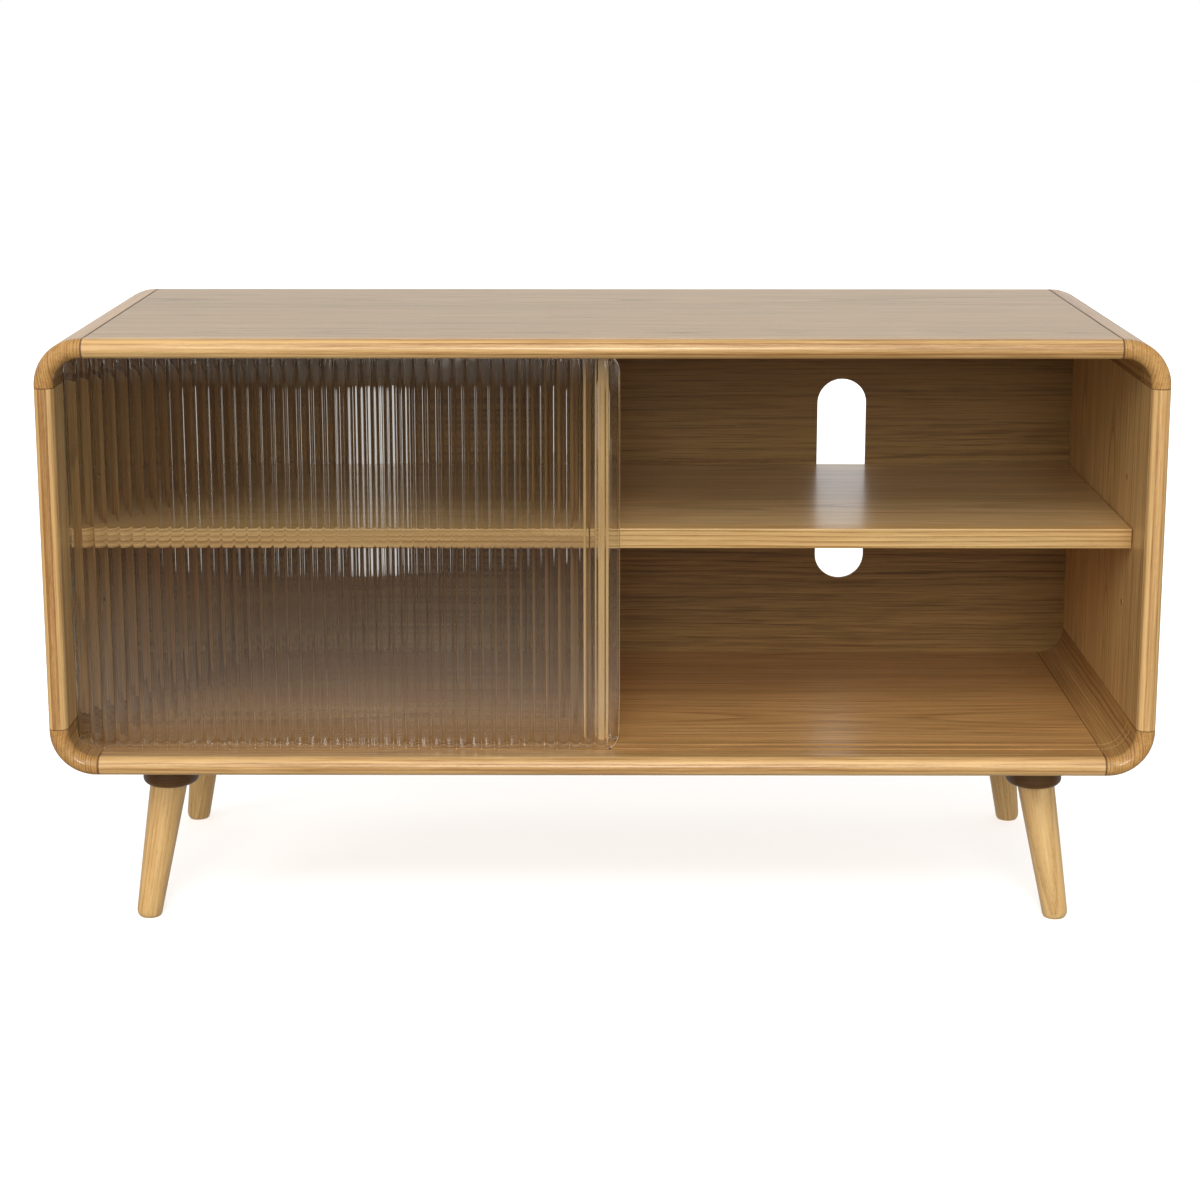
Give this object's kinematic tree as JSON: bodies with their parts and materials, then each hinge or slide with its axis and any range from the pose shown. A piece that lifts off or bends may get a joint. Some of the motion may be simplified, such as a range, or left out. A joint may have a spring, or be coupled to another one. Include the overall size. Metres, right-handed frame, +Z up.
{
  "type": "media cabinet",
  "caption": "Low round-cornered wooden cabinet on splayed legs, with two open bays, adjustable shelves, cable slots and sliding reeded glass doors.",
  "frame": {"origin": "on the floor, under the middle of the carcass", "axes": "+Z up, +X to the right as seen from the front, -Y towards the front"},
  "size_m": [1.2, 0.45, 0.66],
  "materials": {
    "veneer": "light oak veneer, satin lacquer, grain along each board",
    "solid_wood": "solid light oak, satin lacquer, grain along the strip",
    "corner_wood": "solid oak, satin lacquer, grain front to back",
    "back_veneer": "oak veneer, satin lacquer, grain side to side",
    "leg_wood": "turned solid ash, satin lacquer, grain along the leg",
    "hidden_wood": "plain unfinished wood",
    "zinc_steel": "zinc plated",
    "brass": "plain",
    "reeded_glass": "clear, vertical reeds, polished edges"
  },
  "bodies": {
    "carcass": {"back_panel": "back_veneer", "back_screw_1": "zinc_steel", "back_screw_2": "zinc_steel", "back_screw_3": "zinc_steel", "back_screw_4": "zinc_steel", "back_screw_5": "zinc_steel", "back_screw_6": "zinc_steel", "bottom_panel": "veneer", "corner_bottom_left": "corner_wood", "corner_bottom_right": "corner_wood", "corner_top_left": "corner_wood", "corner_top_right": "corner_wood", "divider": "veneer", "divider_lipping": "solid_wood", "hanger_bolt_front_left": "zinc_steel", "hanger_bolt_front_right": "zinc_steel", "hanger_bolt_rear_left": "zinc_steel", "hanger_bolt_rear_right": "zinc_steel", "leg_collar_front_left": "leg_wood", "leg_collar_front_right": "leg_wood", "leg_collar_rear_left": "leg_wood", "leg_collar_rear_right": "leg_wood", "leg_front_left": "leg_wood", "leg_front_right": "leg_wood", "leg_rear_left": "leg_wood", "leg_rear_right": "leg_wood", "lipping_bottom": "solid_wood", "lipping_left": "solid_wood", "lipping_right": "solid_wood", "lipping_top": "solid_wood", "shelf_pin_left_inner_front": "brass", "shelf_pin_left_inner_rear": "brass", "shelf_pin_left_outer_front": "brass", "shelf_pin_left_outer_rear": "brass", "shelf_pin_right_inner_front": "brass", "shelf_pin_right_inner_rear": "brass", "shelf_pin_right_outer_front": "brass", "shelf_pin_right_outer_rear": "brass", "side_panel_left": "veneer", "side_panel_right": "veneer", "threaded_insert_front_left": "brass", "threaded_insert_front_right": "brass", "threaded_insert_rear_left": "brass", "threaded_insert_rear_right": "brass", "tongue_bottom_left_flat": "hidden_wood", "tongue_bottom_left_upright": "hidden_wood", "tongue_bottom_right_flat": "hidden_wood", "tongue_bottom_right_upright": "hidden_wood", "tongue_top_left_flat": "hidden_wood", "tongue_top_left_upright": "hidden_wood", "tongue_top_right_flat": "hidden_wood", "tongue_top_right_upright": "hidden_wood", "top_panel": "veneer"},
    "door_front": {"glass_door_front": "reeded_glass"},
    "door_rear": {"glass_door_rear": "reeded_glass"},
    "shelf_left": {"shelf_left": "veneer", "shelf_left_lipping": "solid_wood"},
    "shelf_right": {"shelf_right": "veneer", "shelf_right_lipping": "solid_wood"}
  },
  "joints": [
    {"name": "door_front_slide", "type": "slide", "parent": "carcass", "child": "door_front", "axis": [1, 0, 0], "range_m": [-0.002, 0.558]},
    {"name": "door_rear_slide", "type": "slide", "parent": "carcass", "child": "door_rear", "axis": [1, 0, 0], "range_m": [0, 0.5608]},
    {"name": "shelf_left_lift", "type": "slide", "parent": "carcass", "child": "shelf_left", "axis": [0, 0, 1], "range_m": [0, 0.071]},
    {"name": "shelf_right_lift", "type": "slide", "parent": "carcass", "child": "shelf_right", "axis": [0, 0, 1], "range_m": [0, 0.071]}
  ]
}
